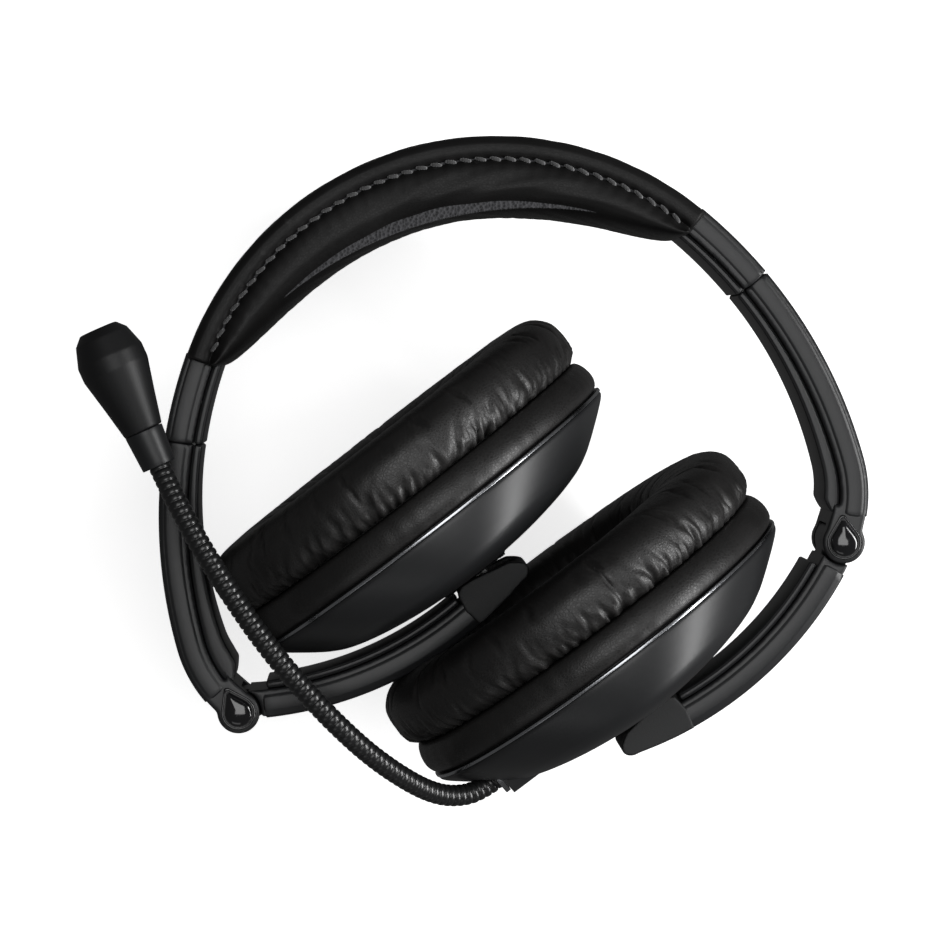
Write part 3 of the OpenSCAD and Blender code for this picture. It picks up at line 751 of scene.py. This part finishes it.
def wrinkle_strokes(points, center_y, seed, count, around=52.0):
    """Presses short slanted folds into the side of a cushion or roll. Points are in a cup's frame."""
    r = np.random.default_rng(seed)
    radius = np.hypot(points[..., 0], points[..., 2])
    arc = np.arctan2(points[..., 2], points[..., 0]) * around
    y = points[..., 1]
    push = np.zeros_like(y)
    for _ in range(count):
        at = r.uniform(-math.pi, math.pi) * around
        length = r.uniform(3.0, 9.5)
        slant = r.normal(0.12, 0.28)
        width = r.uniform(0.45, 0.95)
        deep = r.uniform(0.3, 1.0)
        bend = r.normal(0, 0.05)
        h = y - center_y
        line = at + slant * h + bend * h * h
        off = (arc - line + math.pi * around) % (2 * math.pi * around) - math.pi * around
        fade = np.clip(1 - np.clip(h, 0, None) / length, 0, 1) ** 0.8 * (h > -0.8)
        ridge = 0.55 * np.exp(-((off - 1.5 * width) / width) ** 2)
        push += deep * fade * (-np.exp(-(off / width) ** 2) + ridge)
    side = np.clip((radius - 47.5) / 3.0, 0, 1)
    move = push * side
    out = points.copy()
    out[..., 0] += move * points[..., 0] / radius
    out[..., 2] += move * points[..., 2] / radius
    return out


def cushion_points():
    profile, _ = resample(spline(CUSHION, 12, True), CUSHION_ACROSS, True)
    shape = lathe(profile, CUSHION_AROUND)
    r0, y0 = profile[:, 0], profile[:, 1]
    seam_points = ((y0 < 0.6) | ((r0 < 31.0) & (y0 < 3)))
    start = shape.copy()
    turn = np.arange(CUSHION_AROUND) / CUSHION_AROUND
    lump = 1 + 0.0012 * waves(turn, 5, 10, 30, 70)[:, None] * (y0 > 1)[None]
    start[..., 0] *= lump
    start[..., 2] *= lump
    faces = grid_faces(CUSHION_AROUND, CUSHION_ACROSS, True)
    swollen = swell(start, faces, np.tile(seam_points, CUSHION_AROUND), SWELL_FRAMES)
    move = swollen.reshape(shape.shape) - shape
    far = np.linalg.norm(move, axis=2, keepdims=True)
    shape = shape + move * np.minimum(1, MOST_SWELL / np.maximum(far, 1e-6))
    return shape


cushion_shape = cushion_points()
roll_profile, _ = resample(spline(ROLL, 10, True), ROLL_ACROSS, True)
for k, cup in enumerate(cups):
    turned = cushion_shape
    if k:
        turned = np.roll(cushion_shape, OTHER_WAY, axis=0)
        a = OTHER_WAY / CUSHION_AROUND * 2 * math.pi
        c, s = math.cos(a), math.sin(a)
        x, z = turned[..., 0] * c - turned[..., 2] * s, turned[..., 0] * s + turned[..., 2] * c
        turned = np.stack([x, turned[..., 1], z], 2)
    skin = wrinkle_strokes(turned, -0.2, 21 + k, 290)
    faces = grid_faces(CUSHION_AROUND, CUSHION_ACROSS, True)
    piece = make(cup.side + "_ear_cushion", cup.points(skin), faces, looks["leather"])
    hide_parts(cup.side + "_cushion")
    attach(piece, cup.side + "_cup")

    roll = lathe(roll_profile, ROLL_AROUND)
    turn = np.arange(ROLL_AROUND) / ROLL_AROUND
    out = (roll_profile[:, 0] > 50.5)
    slow, quick = waves(turn, 31 + k, 7, 5, 23)[:, None], waves(turn, 41 + k, 7, 30, 80)[:, None]
    wave = 1 + (0.0016 * slow + 0.0008 * quick) * out
    roll[..., 0] *= wave
    roll[..., 2] *= wave
    faces = grid_faces(ROLL_AROUND, ROLL_ACROSS, True)
    piece = make(cup.side + "_soft_roll", cup.points(roll), faces, looks["leather"])
    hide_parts(cup.side + "_cushion_base")
    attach(piece, cup.side + "_cup")


# ---- Cup housings: deep at the top and bottom, tapered at both ends ----

# (half length along the face, half height, depth) from the trim ring to the back
HOUSING = [(51.6, 51.6, -10.15), (51.65, 51.7, -10.8), (50.6, 51.6, -12), (48.2, 51.3, -14),
           (45.6, 50.9, -16), (42.9, 50.4, -18), (39.9, 49.6, -20), (36.0, 47.9, -21.9), (30.0, 44.5, -23.5),
           (22.0, 38.0, -24.75), (13.0, 26.0, -25.5), (5.0, 11.0, -25.85)]
WALL, SHELL_SIDES, CUTTER_SIDES = 2.1, 256, 48
# (start point, radius, first and last distance along the face) of the boom's recess and the inlet's hole
LEFT_CUTS = [((-38.6, -17.6, 15), 5.0, -14, 16), ((-38.6, -22.2, 15), 5.2, -14, 4),
             ((-41, -17.6, -14), 3.5, -8, 16)]
PIVOT_Y = -29.5


def cutter(center, along, radius, start, end):
    """A cylinder to cut with, along the given direction from its centre."""
    turn = np.arange(CUTTER_SIDES) * 2 * math.pi / CUTTER_SIDES
    other = np.cross(along, Z)
    if np.linalg.norm(other) < 0.1:
        other = np.array([1.0, 0, 0])
    third = np.cross(along, other)
    circle = np.cos(turn)[:, None] * other + np.sin(turn)[:, None] * third
    rings = [center + along * d + radius * circle for d in (start, end)]
    lids = [tuple(range(CUTTER_SIDES)), tuple(range(2 * CUTTER_SIDES - 1, CUTTER_SIDES - 1, -1))]
    return make("cutter", np.vstack(rings), grid_faces(2, CUTTER_SIDES) + lids, looks["shell"])


for cup in cups:
    outer = spline(HOUSING, 5)
    inner = spline([(a - WALL, b - WALL, y + (1.9 if i else 0)) for i, (a, b, y) in enumerate(HOUSING)], 5)
    turn = np.arange(SHELL_SIDES) * 2 * math.pi / SHELL_SIDES
    rings = []
    for a, b, y in np.vstack([[(0, 0, -25.9)], outer[::-1], inner, [(0, 0, -24.0)]]):
        rings.append(np.stack([a * np.cos(turn), 0 * turn + y, b * np.sin(turn)], 1))
    faces = grid_faces(len(rings), SHELL_SIDES)
    shell = make(cup.side + "_housing_shell", cup.points(np.array(rings)), faces, looks["shell"])
    cuts = []
    for at, radius, start, end in (LEFT_CUTS if cup.side == "left" else []):
        cuts.append(cutter(cup.points([at])[0], cup.u, radius, start, end))
    cuts.append(cutter(cup.points([(0, PIVOT_Y, 0)])[0], Z, 4.0, -8.6, 8.6))
    for c in cuts:
        cut = shell.modifiers.new("cut", "BOOLEAN")
        cut.operation = "DIFFERENCE"
        cut.solver = "EXACT"
        cut.object = c
    bevel = shell.modifiers.new("edge", "BEVEL")
    bevel.width = 0.35 * MM
    bevel.segments = 2
    bevel.limit_method = "ANGLE"
    bevel.angle_limit = math.radians(40)
    shell.modifiers.new("normals", "WEIGHTED_NORMAL")
    settled(shell)
    for c in cuts:
        bpy.data.objects.remove(c)

    # a pad on the housing, between the lugs, meets the yoke's end
    foot = np.array([(-9, -24.6), (-9.6, -26.4), (-8.6, -27.2), (8.6, -27.2), (9.6, -26.4), (9, -24.6)])
    layers = [cup.points(np.stack([foot[:, 0], foot[:, 1], 0 * foot[:, 0] + z], 1)) for z in (-8, 8)]
    pad_faces = grid_faces(2, 6) + [tuple(range(6)), tuple(range(11, 5, -1))]
    pivot_pad = make(cup.side + "_pivot_pad", np.vstack(layers), pad_faces, looks["inner_cover"])
    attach(pivot_pad, cup.side + "_cup")
    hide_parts(cup.side + "_cup_housing")
    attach(shell, cup.side + "_cup")


# ---- Ribbed gooseneck, on the same line as in the CAD ----

NECK = [(-39.5, -17.6, 15), (-43.5, -17.5, 15.4), (-48.4, -16, 17.2), (-53, -11.8, 20.8), (-56.5, -4.6, 26.2),
        (-59.7, 6.6, 32), (-61.7, 19, 36), (-62.9, 32, 37.2), (-63.3, 44, 37.4), (-62.9, 56, 36.6),
        (-61.8, 70, 35.4), (-60.2, 82, 33.6), (-58.4, 92, 30.4)]
RIB, RINGS_PER_RIB, NECK_SIDES = 1.7, 10, 28
dense = cups[0].points(spline(NECK, 24))
_, neck_length = resample(dense, 2)
ribs = int(round(neck_length / RIB))
path, _ = resample(dense, ribs * RINGS_PER_RIB + 1)
phase = np.arange(len(path)) / RINGS_PER_RIB % 1
radii = 2.22 + 0.43 * np.sqrt(np.clip(1 - (2 * phase - 1) ** 2, 0, 1)) ** 0.9
neck_rings = tube(path, radii, NECK_SIDES)
last = (len(neck_rings) - 1) * NECK_SIDES
lids = [tuple(range(NECK_SIDES)), tuple(last + i for i in reversed(range(NECK_SIDES)))]
neck = make("ribbed_neck", neck_rings, grid_faces(len(neck_rings), NECK_SIDES) + lids,
            looks["neck_metal"])
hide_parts("gooseneck")
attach(neck, "boom")

# a ring closes the seam between the microphone's collar and its body
collar_node = frame["nodes"]["mic_collar"]
collar = np.array([collar_node.matrix_world @ v.co for v in collar_node.data.vertices]) / MM
collar_mid = (collar.min(0) + collar.max(0)) / 2
mic_axis = neck_rings[-1].mean(0) - neck_rings[-4].mean(0)
mic_axis *= np.sign(np.dot(mic_axis, collar_mid - dense[len(dense) // 2])) / np.linalg.norm(mic_axis)
seam = collar_mid + mic_axis * ((collar - collar_mid) @ mic_axis).max()
ring = tube([seam - mic_axis, seam, seam + mic_axis], [4.3, 4.6, 4.6], 40)
mic_ring = make("mic_ring", ring, grid_faces(3, 40), looks["socket_plastic"])
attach(mic_ring, "boom")


# ---- Floor, camera and light ----

target = Vector((-1.19 * MM, -0.24 * MM, mid_z * MM))
eye = target + Vector((-23.9 * MM, 31.8 * MM, 900 * MM))
camera = linked("camera", bpy.data.cameras.new("camera"))
view = (target - eye).normalized()
right = view.cross(Vector((0, 1, 0))).normalized()
up = right.cross(view)
camera.matrix_world = Matrix(((right.x, up.x, -view.x, eye.x), (right.y, up.y, -view.y, eye.y),
                              (right.z, up.z, -view.z, eye.z), (0, 0, 0, 1)))
camera.data.lens = 4.06 * (target - eye).length / MM * 36 / 940
camera.data.clip_end = 10
scene.camera = camera

bpy.ops.mesh.primitive_plane_add(size=8)
floor = bpy.context.object
floor.name = "floor"
paper = Nodes("floor_paper")
paper.bump(paper.noise(3, 3), 0.02, 0.2)
paper.done(paper.colors(paper.noise(60, 2), [(0.3, (0.90, 0.90, 0.90)), (0.7, (0.92, 0.92, 0.92))]), 0.9,
           Emission_Color=(1, 1, 1, 1), Emission_Strength=0.72)
floor.data.materials.append(paper.material)
floor.visible_diffuse = False
floor.visible_glossy = False

world = bpy.data.worlds.new("studio")
scene.world = world
world.use_nodes = True
tree = world.node_tree
seen, lighting = tree.nodes["Background"], tree.nodes.new("ShaderNodeBackground")
seen.inputs["Color"].default_value = (1, 1, 1, 1)
seen.inputs["Strength"].default_value = 1.0
lighting.inputs["Color"].default_value = (1, 1, 1, 1)
lighting.inputs["Strength"].default_value = 0.09
pick = tree.nodes.new("ShaderNodeMixShader")
tree.links.new(tree.nodes.new("ShaderNodeLightPath").outputs["Is Camera Ray"], pick.inputs[0])
tree.links.new(lighting.outputs[0], pick.inputs[1])
tree.links.new(seen.outputs[0], pick.inputs[2])
tree.links.new(pick.outputs[0], tree.nodes["World Output"].inputs["Surface"])
scene.view_settings.view_transform = "Standard"
scene.view_settings.look = "None"


def lamp(name, direction, distance, size, power, along=(0, 0, 1), look_at=(0, 0, 0.05)):
    """An area light. Its first side lies along the given direction."""
    data = bpy.data.lights.new(name, "AREA")
    data.shape = "RECTANGLE"
    data.size, data.size_y = size
    data.energy = power
    light = linked(name, data)
    back = Vector(direction).normalized()
    side = Vector(along).cross(back).cross(-back).normalized() * -1
    other = back.cross(side)
    at = Vector(look_at) + back * distance
    light.matrix_world = Matrix(((side.x, other.x, back.x, at.x), (side.y, other.y, back.y, at.y),
                                 (side.z, other.z, back.z, at.z), (0, 0, 0, 1)))
    light.visible_camera = False


lamp("overhead", (0.05, 0.1, 1), 1.6, (0.9, 0.9), 7.5, along=(1, 0, 0))
lamp("strip", (0.905, -0.05, 0.43), 1.2, (1.25, 0.2), 15, along=(-0.29, 0.77, 0.36))
lamp("low", (-0.2, -0.8, 0.6), 1.5, (0.8, 0.4), 0.7, along=(1, 0, 0))
